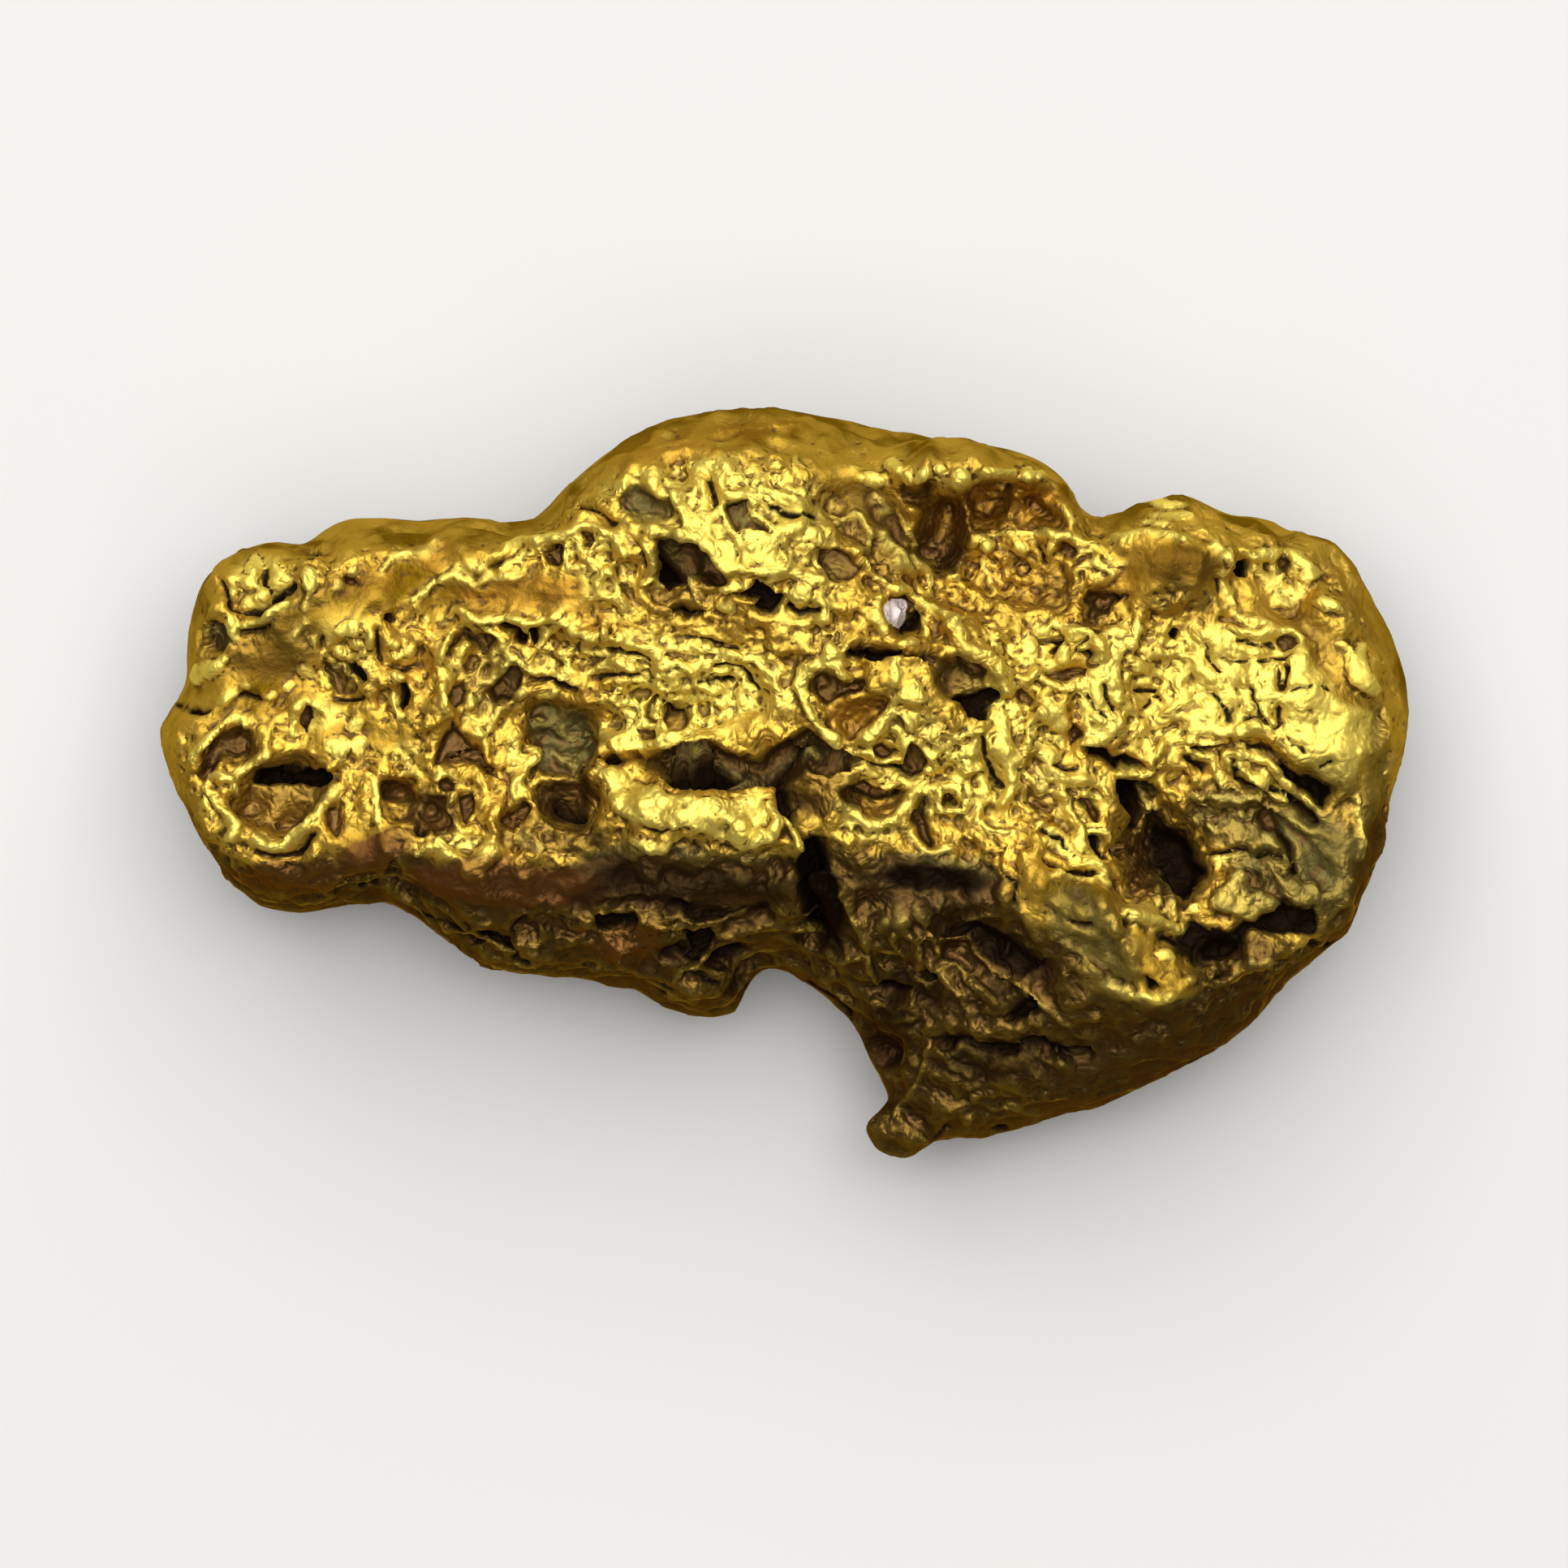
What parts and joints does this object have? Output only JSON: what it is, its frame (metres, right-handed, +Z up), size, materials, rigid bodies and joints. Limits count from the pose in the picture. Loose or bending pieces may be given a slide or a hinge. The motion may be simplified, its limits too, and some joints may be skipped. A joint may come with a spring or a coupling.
{
  "type": "gold nugget",
  "caption": "Water-worn lump of native gold with rounded lobes, pits, ridges and a small bead at its tip, resting on worn flats.",
  "frame": {"origin": "middle of the nugget's bounding box at the level of the surface it lies on", "axes": "+X along the length towards the broad end, +Y across towards the domed long side, +Z up out of the broad pitted face"},
  "size_m": [0.0308, 0.0184, 0.0107],
  "materials": {
    "gold": "worn native gold: bright satin on the high places, matte on the sheltered bands, brown iron stain in the hollows and on the lower slopes"
  },
  "bodies": {
    "root": {"nugget": "gold"}
  },
  "joints": []
}
